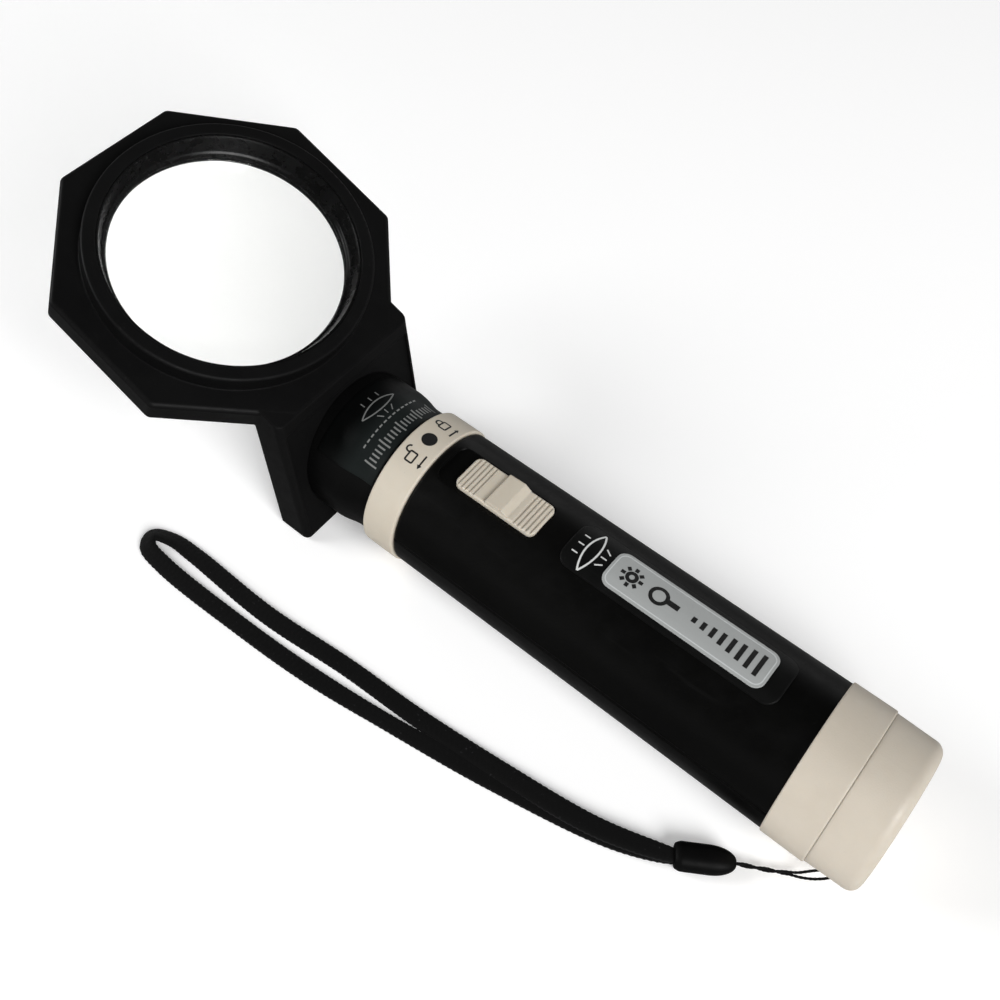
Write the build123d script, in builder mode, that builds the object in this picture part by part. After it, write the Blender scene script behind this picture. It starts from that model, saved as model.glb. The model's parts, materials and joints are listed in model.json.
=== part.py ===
from build123d import *

import os
from math import cos, radians, sin, sqrt

# Hand-held illuminated magnifier for low vision: an octagonal lens head on a torch handle.
# Units are millimetres. The origin is the centre of the flat tail face, on the handle's axis.
# +X points out of the tail, so the head lies towards -X; +Z is the switch side.

os.makedirs("parts", exist_ok=True)

# ---------------------------------------------------------------- driving dimensions
lens_diameter = 50.0
lens_surface_radius = 98.0
clear_radius = 24.2
cell_radius = 12.8
cell_can_length = 48.0
cell_nub_length = 1.5
cell_nub_radius = 2.75
handle_length = 109.4
body_front_radius = 14.82
body_rear_radius = 14.95
tail_ring_radius = 15.35
tail_cap_radius = 14.75
rest_z = -tail_ring_radius
running_gap = 0.08

# Stations along the handle axis, measured from the tail face.
tail_step_x = -9.5
tail_ring_front_x = -18.0
ring_front_x = -handle_length
ring_rear_x = ring_front_x + 7.7
neck_front_x = ring_front_x + 4.2
body_rear_x = -11.4
tail_wall = 2.0
tail_floor_x = -tail_wall

# Bores and walls of the handle.
bore_radius = 13.15
neck_radius = 13.9
edge_break = 0.35
channel_start_z = 12.15
cut_reach = 8.0
root_overlap = 0.2


def ring_about_x(x_low, x_high, inner, outer):
    """Profile of a plain ring about the handle axis, drawn in the XZ plane."""
    Polyline((x_low, inner), (x_high, inner), (x_high, outer), (x_low, outer), close=True)


# ---------------------------------------------------------------- handle tube
rib_groove_front_x = ring_front_x + 5.4
rib_groove_length = 1.4
rib_groove_depth = 0.35
flat_z = 14.0
flat_length = 23.25
flat_front_x = ring_front_x + 9.4
flat_corner = 2.3
flat_width = 9.6
stem_slot_length = 7.4
stem_slot_width = 2.4
stem_slot_front_x = ring_front_x + 17.3
strip_groove_width = 3.6
strip_groove_roof = 13.42
seam_z = 1.9
seam_radius = 0.35

with BuildPart() as body_tube:
    with BuildSketch(Plane.XZ):
        with BuildLine():
            Polyline(
                (neck_front_x, bore_radius),
                (body_rear_x, bore_radius),
                (body_rear_x, neck_radius),
                (tail_ring_front_x, neck_radius),
                (tail_ring_front_x, body_rear_radius),
                (ring_rear_x + edge_break, body_front_radius),
                (ring_rear_x, body_front_radius - edge_break),
                (ring_rear_x, neck_radius),
                (rib_groove_front_x + rib_groove_length, neck_radius),
                (rib_groove_front_x + rib_groove_length, neck_radius - rib_groove_depth),
                (rib_groove_front_x, neck_radius - rib_groove_depth),
                (rib_groove_front_x, neck_radius),
                (neck_front_x, neck_radius),
                close=True,
            )
        make_face()
    revolve(axis=Axis.X)
    # Flat that the switch slides on.
    with BuildSketch(Plane.XY.offset(flat_z)):
        with Locations((flat_front_x + flat_length / 2, 0)):
            RectangleRounded(flat_length, flat_width, flat_corner)
    extrude(amount=cut_reach, mode=Mode.SUBTRACT)
    # Slot for the switch stem.
    with BuildSketch(Plane.XY.offset(channel_start_z)):
        with Locations((stem_slot_front_x + stem_slot_length / 2, 0)):
            Rectangle(stem_slot_length, stem_slot_width)
    extrude(amount=flat_z - channel_start_z, mode=Mode.SUBTRACT)
    # Groove that carries the contact strips past the cells.
    with BuildSketch(Plane.XY.offset(channel_start_z)):
        with Locations(((neck_front_x + body_rear_x) / 2, 0)):
            Rectangle(body_rear_x - neck_front_x, strip_groove_width)
    extrude(amount=strip_groove_roof - channel_start_z, mode=Mode.SUBTRACT)
    # Moulding seam along each side of the tube.
    for side in (-1, 1):
        seam_y = side * sqrt(body_rear_radius**2 - seam_z**2)
        seam_plane = Plane(origin=(ring_rear_x, seam_y, seam_z), x_dir=(0, 1, 0), z_dir=(1, 0, 0))
        with BuildSketch(seam_plane):
            Circle(seam_radius)
        extrude(amount=tail_ring_front_x - ring_rear_x, mode=Mode.SUBTRACT)

# ---------------------------------------------------------------- tail ring and end cap
end_gap = 0.1
cap_seam_gap = 0.04
cap_spigot_x = body_rear_x + end_gap
ring_edge = 0.25
cap_edge = 2.2
cap_step_radius = 15.0
cap_inner_radius = 13.1
hole_angle = radians(38.8)
hole_x = -4.1
hole_radius = 1.3
hole_direction = (0, -sin(hole_angle), -cos(hole_angle))

with BuildPart() as tail_ring:
    with BuildSketch(Plane.XZ):
        with BuildLine():
            ring_about_x(tail_ring_front_x, tail_step_x, neck_radius, tail_ring_radius)
        make_face()
    revolve(axis=Axis.X)
    fillet(tail_ring.edges().filter_by(GeomType.CIRCLE).group_by(SortBy.RADIUS)[-1], ring_edge)

with BuildPart() as end_cap:
    with BuildSketch(Plane.XZ):
        with BuildLine():
            Polyline(
                (tail_floor_x, 0),
                (0, 0),
                (0, tail_cap_radius),
                (tail_step_x + cap_seam_gap, cap_step_radius),
                (tail_step_x + cap_seam_gap, neck_radius),
                (cap_spigot_x, neck_radius),
                (cap_spigot_x, cap_inner_radius),
                (tail_floor_x, cap_inner_radius),
                close=True,
            )
        make_face()
    revolve(axis=Axis.X)
    fillet(end_cap.faces().sort_by(Axis.X)[-1].edges(), cap_edge)
    # Groove for the contact strip.
    with BuildSketch(Plane.XY.offset(channel_start_z)):
        with Locations(((cap_spigot_x + tail_floor_x) / 2, 0)):
            Rectangle(tail_floor_x - cap_spigot_x, strip_groove_width)
    extrude(amount=strip_groove_roof - channel_start_z, mode=Mode.SUBTRACT)
    # Radial hole that lets the cord out, low on one side.
    with BuildSketch(Plane(origin=(hole_x, 0, 0), x_dir=(1, 0, 0), z_dir=hole_direction)):
        Circle(hole_radius)
    extrude(amount=2 * tail_cap_radius, mode=Mode.SUBTRACT)

# ---------------------------------------------------------------- lock ring (bayonet)
ring_outer_radius = 15.28
ring_bore = neck_radius + running_gap
ring_face_gap = 0.1
tab_count = 3
tab_angle = 34.0
tab_length = 1.0
tab_inner_radius = 13.48
lug_angle = 30.0
lug_length = 1.6
lug_radius = neck_radius
spigot_radius = 13.4
key_angle = 60.0

with BuildPart() as lock_ring:
    with BuildSketch(Plane.XZ):
        with BuildLine():
            ring_about_x(
                ring_front_x + ring_face_gap, ring_rear_x - ring_face_gap, ring_bore, ring_outer_radius
            )
        make_face()
    revolve(axis=Axis.X)
    fillet(lock_ring.edges().filter_by(GeomType.CIRCLE).group_by(SortBy.RADIUS)[-1], edge_break)
    # Snap rib that keeps the ring on the tube's neck.
    with BuildSketch(Plane.XZ):
        with BuildLine():
            ring_about_x(
                rib_groove_front_x + 2 * running_gap,
                rib_groove_front_x + rib_groove_length - 2 * running_gap,
                neck_radius - rib_groove_depth + running_gap,
                ring_bore + root_overlap,
            )
        make_face()
    revolve(axis=Axis.X)
    # Tabs that stand behind the lugs of the nose.
    for number in range(tab_count):
        start = key_angle + number * 360 / tab_count - tab_angle / 2
        tab_plane = Plane.XZ.rotated((start, 0, 0))
        with BuildSketch(tab_plane):
            with BuildLine():
                ring_about_x(
                    ring_front_x + ring_face_gap,
                    ring_front_x + ring_face_gap + tab_length,
                    tab_inner_radius,
                    ring_bore + root_overlap,
                )
            make_face()
        revolve(axis=Axis.X, revolution_arc=tab_angle)

# ---------------------------------------------------------------- nose barrel
nose_radius = 14.0
flare_radius = 14.95
nose_step_x = ring_front_x - 2.5
flare_x = ring_front_x - 8.5
nose_end_x = ring_front_x - 17.0
nose_shoulder_x = ring_front_x - 19.0
spigot_front_x = ring_front_x - 9.5
nose_bore = 12.4
spigot_end_x = ring_front_x + 4.0
lug_front_x = ring_front_x + ring_face_gap + tab_length + ring_face_gap
hood_spigot_radius = 13.9

# Handle-facing face of the hood, as a line in the XZ plane.
hood_front_low = (ring_front_x - 12.1, rest_z)
hood_front_high = (ring_front_x - 17.4, 19.3)
panel_depth = 0.5
hood_lean = Vector(
    hood_front_high[0] - hood_front_low[0], 0, hood_front_high[1] - hood_front_low[1]
).normalized()
hood_normal = Vector(hood_lean.Z, 0, -hood_lean.X)
panel_plane = Plane(
    origin=(hood_front_low[0] - panel_depth, 0, hood_front_low[1]),
    x_dir=(0, 1, 0),
    z_dir=hood_normal,
)

with BuildPart() as nose_barrel:
    with BuildSketch(Plane.XZ):
        with BuildLine():
            outline = Polyline(
                (spigot_end_x, nose_bore),
                (spigot_end_x, spigot_radius),
                (ring_front_x, spigot_radius),
                (ring_front_x, nose_radius),
                (nose_step_x, nose_radius),
            )
            flare = Spline(
                outline @ 1,
                (flare_x, flare_radius),
                tangents=((-1, 0), (-1, 0)),
            )
            Polyline(
                flare @ 1,
                (nose_shoulder_x, flare_radius),
                (nose_shoulder_x, hood_spigot_radius),
                (nose_end_x, hood_spigot_radius),
                (nose_end_x, nose_bore),
                (spigot_end_x, nose_bore),
            )
        make_face()
    revolve(axis=Axis.X)
    split(bisect_by=panel_plane, keep=Keep.TOP)
    # Spigot that plugs into the hood.
    with BuildSketch(Plane.XZ):
        with BuildLine():
            ring_about_x(nose_end_x, spigot_front_x, nose_bore, hood_spigot_radius)
        make_face()
    revolve(axis=Axis.X)
    # Bayonet lugs.
    for number in range(tab_count):
        start = key_angle + number * 360 / tab_count - lug_angle / 2
        with BuildSketch(Plane.XZ.rotated((start, 0, 0))):
            with BuildLine():
                ring_about_x(
                    lug_front_x, lug_front_x + lug_length, spigot_radius - edge_break, lug_radius
                )
            make_face()
        revolve(axis=Axis.X, revolution_arc=lug_angle)

# ---------------------------------------------------------------- head frame
head_centre = Vector(ring_front_x - 48.8, 0, 31.65)
head_pitch = 21.4
head_plane = Plane(
    origin=head_centre,
    x_dir=(cos(radians(head_pitch)), 0, -sin(radians(head_pitch))),
    z_dir=(sin(radians(head_pitch)), 0, cos(radians(head_pitch))),
)
octagon_across_flats = 68.0
octagon_sides = 8
octagon_turn = 180 / octagon_sides
octagon_corner_radius = octagon_across_flats / 2 / cos(radians(octagon_turn))
plate_thickness = 6.2
plate_edge = 0.9
corner_round = 1.6
boss_radius = 29.4
boss_height = 4.3
boss_edge = 0.5
retainer_radius = 26.6
seat_h = -2.9
lens_edge_thickness = 1.9
lens_clearance = 0.05
lens_pocket_radius = lens_diameter / 2 + lens_clearance
aperture_flare = 2.0
hood_half_width = 19.1
hood_corner = 3.0
hood_side_round = 1.6
rim_width = 1.4
hood_floor_x = ring_front_x - 18.5
hood_back_low = (ring_front_x - 19.5, rest_z)
hood_back_u = 28.9
tongue_start = 24.0
shoulder_round = 1.5
window_bore = 12.2
panel_height = 32.0


def on_head(u, h):
    """Point of the XZ plane that lies u along the head and h above its top face."""
    spot = head_plane.from_local_coords(Vector(u, 0, h))
    return (spot.X, spot.Z)


with BuildPart() as head_frame:
    with BuildSketch(head_plane) as octagon:
        RegularPolygon(octagon_corner_radius, octagon_sides, rotation=octagon_turn)
        fillet(octagon.vertices(), corner_round)
    extrude(amount=-plate_thickness)
    head_axis = Axis(head_centre, head_plane.z_dir)
    plate_faces = head_frame.faces().filter_by(head_axis).sort_by(head_axis)
    fillet(plate_faces[0].edges() + plate_faces[-1].edges(), plate_edge)
    # Tongue and hood: a wall that drops from the plate to the table.
    with BuildSketch(Plane.XZ) as hood_side:
        with BuildLine():
            Polyline(
                on_head(tongue_start, 0),
                hood_front_high,
                hood_front_low,
                hood_back_low,
                on_head(hood_back_u, -plate_thickness),
                on_head(tongue_start, -plate_thickness),
                close=True,
            )
        make_face()
        fillet(hood_side.vertices().sort_by(Axis.Z)[:2].sort_by(Axis.X)[0], hood_corner)
        fillet(hood_side.vertices().sort_by(Axis.X)[-3:].sort_by(Axis.Z)[-1], shoulder_round)
    extrude(amount=hood_half_width, both=True)
    hood_foot = head_frame.faces().sort_by(Axis.Z)[0]
    fillet(hood_foot.edges().filter_by(Axis.X), hood_side_round)
    # Raised boss around the lens.
    with BuildSketch(head_plane):
        Circle(boss_radius)
    extrude(amount=boss_height)
    fillet(head_frame.faces().filter_by(head_axis).sort_by(head_axis)[-1].edges(), boss_edge)
    # Stepped bore: retainer, lens pocket, clear aperture.
    with BuildSketch(head_plane.offset(boss_height)):
        Circle(retainer_radius)
    extrude(amount=-(boss_height - seat_h - lens_edge_thickness), mode=Mode.SUBTRACT)
    with BuildSketch(head_plane.offset(boss_height)):
        Circle(lens_pocket_radius)
    extrude(amount=-(boss_height - seat_h), mode=Mode.SUBTRACT)
    with BuildSketch(head_plane.offset(boss_height)):
        Circle(clear_radius)
    extrude(amount=-2 * boss_height - plate_thickness, mode=Mode.SUBTRACT)
    under_edges = head_frame.edges().filter_by(GeomType.CIRCLE).filter_by(
        lambda edge: abs(edge.radius - clear_radius) < lens_clearance
    )
    chamfer(under_edges.sort_by(head_axis)[0], aperture_flare)
    # Sunk panel in the hood's handle side, open at the bottom, inside a thin rim.
    with BuildSketch(panel_plane):
        with Locations((0, (panel_height - panel_depth) / 2)):
            Rectangle(2 * (hood_half_width - rim_width), panel_height + panel_depth)
    extrude(amount=2 * panel_depth, mode=Mode.SUBTRACT)
    # Socket for the nose spigot and the window behind it.
    with BuildSketch(Plane.YZ.offset(hood_floor_x)):
        Circle(hood_spigot_radius)
    extrude(amount=hood_front_low[0] - hood_floor_x, mode=Mode.SUBTRACT)
    with BuildSketch(Plane.YZ.offset(hood_floor_x)):
        Circle(window_bore)
    extrude(amount=-hood_half_width, mode=Mode.SUBTRACT)

# ---------------------------------------------------------------- lens and its retainer
head_section = Plane(origin=head_centre, x_dir=head_plane.x_dir, z_dir=(0, -1, 0))
lens_top_h = seat_h + lens_edge_thickness
lens_sag = lens_surface_radius - sqrt(lens_surface_radius**2 - clear_radius**2)
retainer_top_h = boss_height - 0.3
retainer_lip = 0.5
retainer_step_radius = 25.0
retainer_step_h = lens_top_h + 1.3
retainer_land_radius = clear_radius + 0.3
retainer_land_h = lens_top_h + 1.0

with BuildPart() as lens:
    with BuildSketch(head_section):
        with BuildLine():
            Polyline(
                (clear_radius, lens_top_h),
                (lens_diameter / 2, lens_top_h),
                (lens_diameter / 2, seat_h),
                (clear_radius, seat_h),
            )
            RadiusArc((clear_radius, seat_h), (0, seat_h - lens_sag), lens_surface_radius)
            Line((0, seat_h - lens_sag), (0, lens_top_h + lens_sag))
            RadiusArc((0, lens_top_h + lens_sag), (clear_radius, lens_top_h), lens_surface_radius)
        make_face()
    revolve(axis=head_axis)

with BuildPart() as lens_retainer:
    with BuildSketch(head_section):
        with BuildLine():
            Polyline(
                (clear_radius, lens_top_h),
                (retainer_radius, lens_top_h),
                (retainer_radius, retainer_top_h),
                (retainer_radius - retainer_lip, retainer_top_h),
                (retainer_step_radius, retainer_step_h),
                (retainer_land_radius, retainer_land_h),
                close=True,
            )
        make_face()
    revolve(axis=head_axis)

# ---------------------------------------------------------------- light unit inside the nose
window_radius = 13.8
board_x = ring_front_x - 4.6
board_thickness = 1.2
board_radius = 12.3
clip_length = 2.0
clip_inner_radius = 11.0
reflector_focus = 3.25
reflector_vertex_x = ring_front_x - 6.5
reflector_radii = (2.8, 5.8, 8.8, 11.55)
reflector_skin_x = 0.35
reflector_skin_r = 0.75
led_radius = 2.5
led_flange_radius = 2.9
led_flange_length = 1.0
led_body_length = 4.4
window_edge = 0.2

with BuildPart() as light_window:
    with BuildSketch(Plane.YZ.offset(hood_floor_x)):
        Circle(window_radius)
    extrude(amount=nose_end_x - hood_floor_x)
    chamfer(light_window.edges(), window_edge)

with BuildPart() as reflector:
    with BuildSketch(Plane.XZ):
        with BuildLine():
            inside = [
                (reflector_vertex_x - radius**2 / (4 * reflector_focus), radius)
                for radius in reflector_radii
            ]
            outside = [(x + reflector_skin_x, r + reflector_skin_r) for x, r in inside]
            Spline(*inside)
            Line(inside[-1], outside[-1])
            Spline(*outside)
            Line(outside[0], inside[0])
        make_face()
    revolve(axis=Axis.X)

with BuildPart() as led:
    with BuildSketch(Plane.XZ):
        with BuildLine():
            shoulder_x = board_x - led_flange_length
            dome_x = shoulder_x - led_body_length
            Polyline(
                (dome_x - led_radius, 0),
                (board_x, 0),
                (board_x, led_flange_radius),
                (shoulder_x, led_flange_radius),
                (shoulder_x, led_radius),
                (dome_x, led_radius),
            )
            RadiusArc((dome_x, led_radius), (dome_x - led_radius, 0), -led_radius)
        make_face()
    revolve(axis=Axis.X)

with BuildPart() as led_board:
    with BuildSketch(Plane.YZ.offset(board_x)):
        Circle(board_radius)
    extrude(amount=board_thickness)

with BuildPart() as board_clip:
    with BuildSketch(Plane.YZ.offset(board_x + board_thickness)):
        Circle(nose_bore)
        Circle(clip_inner_radius, mode=Mode.SUBTRACT)
    extrude(amount=clip_length)

# ---------------------------------------------------------------- cells and contacts
cell_front_x = ring_front_x + 5.0
cell_length = cell_nub_length + cell_can_length
cell_edge = 0.8
contact_skin = 0.4
flange_thickness = 0.15
coil_wire = 0.4
front_coil_radius = 2.2
front_coil_turns = 2.5
tail_plate_radius = 9.5
tail_coil_radius = 6.5
tail_coil_turns = 1.75


def cell_profile(front_x):
    """Half section of one cell, with its raised terminal towards the nose."""
    can_x = front_x + cell_nub_length
    rear_x = front_x + cell_length
    Polyline(
        (front_x, 0),
        (front_x, cell_nub_radius),
        (can_x, cell_nub_radius),
        (can_x, cell_radius - cell_edge),
        (can_x + cell_edge, cell_radius),
        (rear_x - cell_edge, cell_radius),
        (rear_x, cell_radius - cell_edge),
        (rear_x, 0),
        close=True,
    )


with BuildPart() as front_cell:
    with BuildSketch(Plane.XZ):
        with BuildLine():
            cell_profile(cell_front_x)
        make_face()
    revolve(axis=Axis.X)

with BuildPart() as rear_cell:
    with BuildSketch(Plane.XZ):
        with BuildLine():
            cell_profile(cell_front_x + cell_length)
        make_face()
    revolve(axis=Axis.X)

cell_rear_x = cell_front_x + 2 * cell_length
spring_seat_x = board_x + board_thickness
front_coil_height = cell_front_x - spring_seat_x - 2 * coil_wire

with BuildPart() as nose_spring:
    with BuildLine():
        front_coil = Helix(
            pitch=front_coil_height / front_coil_turns,
            height=front_coil_height,
            radius=front_coil_radius,
            center=(spring_seat_x + coil_wire, 0, 0),
            direction=(1, 0, 0),
        )
    with BuildSketch(Plane(origin=front_coil @ 0, z_dir=front_coil % 0)):
        Circle(coil_wire)
    sweep()

with BuildPart() as nose_contact:
    with BuildSketch(Plane.XZ):
        with BuildLine():
            Polyline(
                (spring_seat_x + clip_length, nose_bore),
                (spring_seat_x + clip_length, nose_bore - contact_skin),
                (spigot_end_x + flange_thickness, nose_bore - contact_skin),
                (spigot_end_x + flange_thickness, spigot_radius),
                (spigot_end_x, spigot_radius),
                (spigot_end_x, nose_bore),
                close=True,
            )
        make_face()
    revolve(axis=Axis.X)

plate_x = tail_floor_x - contact_skin
tail_coil_height = plate_x - cell_rear_x - 2 * coil_wire

with BuildPart() as tail_contact:
    with BuildSketch(Plane.YZ.offset(plate_x)):
        Circle(tail_plate_radius)
    extrude(amount=contact_skin)

with BuildPart() as tail_spring:
    with BuildLine():
        tail_coil = Helix(
            pitch=tail_coil_height / tail_coil_turns,
            height=tail_coil_height,
            radius=tail_coil_radius,
            center=(plate_x - coil_wire, 0, 0),
            direction=(-1, 0, 0),
        )
    with BuildSketch(Plane(origin=tail_coil @ 0, z_dir=tail_coil % 0)):
        Circle(coil_wire)
    sweep()

# Contact strips that run in the groove over the cells.
strip_low = 13.12
strip_high = 13.37
strip_width = 3.0
strip_skin = strip_high - strip_low
front_strip_end_x = ring_front_x + 17.1
rear_strip_start_x = ring_front_x + 24.9
front_tip_x = spigot_end_x + flange_thickness + running_gap
front_tip_z = 12.5
rear_tip_x = plate_x - running_gap
rear_tip_z = 9.0

with BuildPart() as front_strip:
    with BuildSketch(Plane.XZ):
        with BuildLine():
            Polyline(
                (front_tip_x, front_tip_z),
                (front_tip_x, strip_high),
                (front_strip_end_x, strip_high),
                (front_strip_end_x, strip_low),
                (front_tip_x + strip_skin, strip_low),
                (front_tip_x + strip_skin, front_tip_z),
                close=True,
            )
        make_face()
    extrude(amount=strip_width / 2, both=True)

with BuildPart() as rear_strip:
    with BuildSketch(Plane.XZ):
        with BuildLine():
            Polyline(
                (rear_strip_start_x, strip_low),
                (rear_strip_start_x, strip_high),
                (rear_tip_x, strip_high),
                (rear_tip_x, rear_tip_z),
                (rear_tip_x - strip_skin, rear_tip_z),
                (rear_tip_x - strip_skin, strip_low),
                close=True,
            )
        make_face()
    extrude(amount=strip_width / 2, both=True)

# ---------------------------------------------------------------- switch
slider_front_x = ring_front_x + 13.8
slider_length = 18.6
slider_half_width = 4.0
slider_corner = 1.4
slider_base_z = flat_z + 0.05
slider_top_z = 15.3
slider_edge = 0.25
pad_front_at = 0.40
pad_ridge_at = 0.60
pad_front_z = 16.1
pad_ridge_z = 16.35
pad_ramp = 1.5
pad_inset = 0.1
grip_count = 5
grip_pitch = 0.93
grip_first = 0.75
grip_radius = 0.27
bridge_high = 13.06
bridge_low = 12.86
bridge_front_x = ring_front_x + 18.0
bridge_length = 11.5
stem_front_x = ring_front_x + 21.4
stem_length = 3.2
stem_width = 2.2

slider_rear_x = slider_front_x + slider_length
pad_front_x = slider_front_x + pad_front_at * slider_length
pad_ridge_x = slider_front_x + pad_ridge_at * slider_length

with BuildPart() as switch_slider:
    with BuildSketch(Plane.XY.offset(slider_base_z)):
        with Locations(((slider_front_x + slider_rear_x) / 2, 0)):
            RectangleRounded(slider_length, 2 * slider_half_width, slider_corner)
    extrude(amount=slider_top_z - slider_base_z)
    chamfer(switch_slider.faces().sort_by(Axis.Z)[-1].edges(), slider_edge)
    # Grip grooves across both ends.
    for number in range(grip_count):
        groove_offset = grip_first + number * grip_pitch
        for groove_x in (slider_front_x + groove_offset, slider_rear_x - groove_offset):
            with BuildSketch(Plane.XZ):
                with Locations((groove_x, slider_top_z)):
                    Circle(grip_radius)
            extrude(amount=2 * slider_half_width, both=True, mode=Mode.SUBTRACT)
    # Raised thumb pad with a steep front, rising to a ridge.
    with BuildSketch(Plane.XZ) as pad_side:
        with BuildLine():
            Polyline(
                (pad_front_x, slider_base_z),
                (pad_front_x, pad_front_z),
                (pad_ridge_x, pad_ridge_z),
                (pad_ridge_x + pad_ramp, slider_top_z),
                (pad_ridge_x + pad_ramp, slider_base_z),
                close=True,
            )
        make_face()
        fillet(pad_side.vertices().sort_by(Axis.Z)[-2:], slider_edge)
    extrude(amount=slider_half_width - pad_inset, both=True)
    # Stem that drives the contact bridge.
    with BuildSketch(Plane.XY.offset(bridge_high)):
        with Locations((stem_front_x + stem_length / 2, 0)):
            Rectangle(stem_length, stem_width)
    extrude(amount=slider_base_z - bridge_high)

with BuildPart() as switch_bridge:
    with BuildSketch(Plane.XY.offset(bridge_low)):
        with Locations((bridge_front_x + bridge_length / 2, 0)):
            Rectangle(bridge_length, strip_width)
    extrude(amount=bridge_high - bridge_low)

# ---------------------------------------------------------------- name panel and plates
panel_skin = 0.15
label_skin = 0.2
label_y = 0.9
dark_panel_size = (45.4, 11.0)
dark_panel_x = ring_front_x + 60.8
dark_panel_corner = 2.5
silver_size = (33.4, 8.6)
silver_x = ring_front_x + 63.5
silver_corner = 2.0
body_taper = (body_rear_radius - body_front_radius) / (tail_ring_front_x - ring_rear_x)
nose_label_arc = 108.0
nose_label_front_x = ring_front_x - 14.5
nose_label_rear_x = ring_front_x - 0.6


def body_radius(x):
    """Outer radius of the tapered tube at station x."""
    return body_front_radius + body_taper * (x - ring_rear_x)


def skin_on_body(x_low, x_high, low, high):
    """Profile of a thin skin that lies from low to high above the tube."""
    Polyline(
        (x_low, body_radius(x_low) + low),
        (x_high, body_radius(x_high) + low),
        (x_high, body_radius(x_high) + high),
        (x_low, body_radius(x_low) + high),
        close=True,
    )


with BuildPart() as dark_panel:
    with BuildSketch(Plane.XZ):
        with BuildLine():
            skin_on_body(
                dark_panel_x - dark_panel_size[0] / 2, dark_panel_x + dark_panel_size[0] / 2, 0, panel_skin
            )
        make_face()
    revolve(axis=Axis.X)
    with BuildSketch(Plane.XY):
        with Locations((dark_panel_x, label_y)):
            RectangleRounded(*dark_panel_size, dark_panel_corner)
    extrude(amount=2 * body_rear_radius, mode=Mode.INTERSECT)

with BuildPart() as silver_label:
    with BuildSketch(Plane.XZ):
        with BuildLine():
            skin_on_body(
                silver_x - silver_size[0] / 2,
                silver_x + silver_size[0] / 2,
                panel_skin,
                panel_skin + label_skin,
            )
        make_face()
    revolve(axis=Axis.X)
    with BuildSketch(Plane.XY):
        with Locations((silver_x, label_y)):
            RectangleRounded(*silver_size, silver_corner)
    extrude(amount=2 * body_rear_radius, mode=Mode.INTERSECT)

with BuildPart() as nose_label:
    with BuildSketch(Plane.XZ.rotated((-nose_label_arc / 2, 0, 0))):
        with BuildLine():
            low = Polyline(
                (nose_label_rear_x, nose_radius + panel_skin),
                (nose_label_rear_x, nose_radius),
                (nose_step_x, nose_radius),
            )
            low_flare = Spline(low @ 1, (flare_x, flare_radius), tangents=((-1, 0), (-1, 0)))
            Polyline(
                low_flare @ 1,
                (nose_label_front_x, flare_radius),
                (nose_label_front_x, flare_radius + panel_skin),
                (flare_x, flare_radius + panel_skin),
            )
            Spline(
                (flare_x, flare_radius + panel_skin),
                (nose_step_x, nose_radius + panel_skin),
                tangents=((1, 0), (1, 0)),
            )
            Line((nose_step_x, nose_radius + panel_skin), (nose_label_rear_x, nose_radius + panel_skin))
        make_face()
    revolve(axis=Axis.X, revolution_arc=nose_label_arc)

# ---------------------------------------------------------------- wrist strap
knot_radius = 1.1
knot_reach = 11.8
cord_radius = 0.35
cord_gap = 0.15
cord_pinch = 0.5
anchor_reach = 16.1
anchor_ball = 0.7
strap_width = 4.2
strap_thickness = 2.0
ferrule_width = 5.7
ferrule_thickness = 4.4
ferrule_round = 1.5
ferrule_tip_round = 1.4
ferrule_z = rest_z + ferrule_thickness / 2
ferrule_tip = Vector(ring_front_x + 91.6, -18.6, ferrule_z)
ferrule_mouth = Vector(ring_front_x + 82.5, -24.6, ferrule_z)
ferrule_direction = (ferrule_mouth - ferrule_tip).normalized()
bend_offset = 2.6
bend_pivot = ferrule_mouth + ferrule_direction * bend_offset
strap_root_radius = 2.3
hole_unit = Vector(*hole_direction)
anchor = Vector(hole_x, 0, 0) + hole_unit * anchor_reach

with BuildPart() as cord_knot:
    with Locations(Vector(hole_x, 0, 0) + hole_unit * knot_reach):
        Sphere(knot_radius)
    with BuildSketch(
        Plane(origin=Vector(hole_x, 0, 0) + hole_unit * knot_reach, x_dir=(1, 0, 0), z_dir=hole_unit)
    ):
        Circle(2 * cord_radius)
    extrude(amount=tail_cap_radius - knot_reach)

with BuildPart() as cord_loop:
    with Locations(anchor):
        Sphere(anchor_ball)
    cord_side = ferrule_direction.cross(Vector(0, 0, 1)).normalized()
    for side in (-1, 1):
        shift = cord_side * (side * (cord_radius + cord_gap / 2))
        with BuildLine():
            strand = Line(anchor + shift * cord_pinch, ferrule_tip + shift - ferrule_direction * end_gap)
        with BuildSketch(Plane(origin=strand @ 0, z_dir=strand % 0)):
            Circle(cord_radius)
        sweep()

ferrule_plane = Plane(
    origin=ferrule_tip, x_dir=ferrule_direction.cross(Vector(0, 0, 1)), z_dir=ferrule_direction
)
with BuildPart() as strap_ferrule:
    with BuildSketch(ferrule_plane):
        RectangleRounded(ferrule_width, ferrule_thickness, ferrule_round)
    extrude(amount=(ferrule_mouth - ferrule_tip).length)
    tip_face = strap_ferrule.faces().sort_by(Axis(ferrule_tip, ferrule_direction))[0]
    fillet(tip_face.edges(), ferrule_tip_round)

near_side = [(63.0, -30.2), (40.0, -32.9), (19.8, -34.7), (0.0, -36.5), (-19.6, -37.2)]
far_side = [(63.0, -31.2), (40.0, -35.9), (20.9, -39.3), (1.6, -41.6), (-24.1, -42.7)]
loop_tip = (ring_front_x - 37.0, -40.2)


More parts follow.
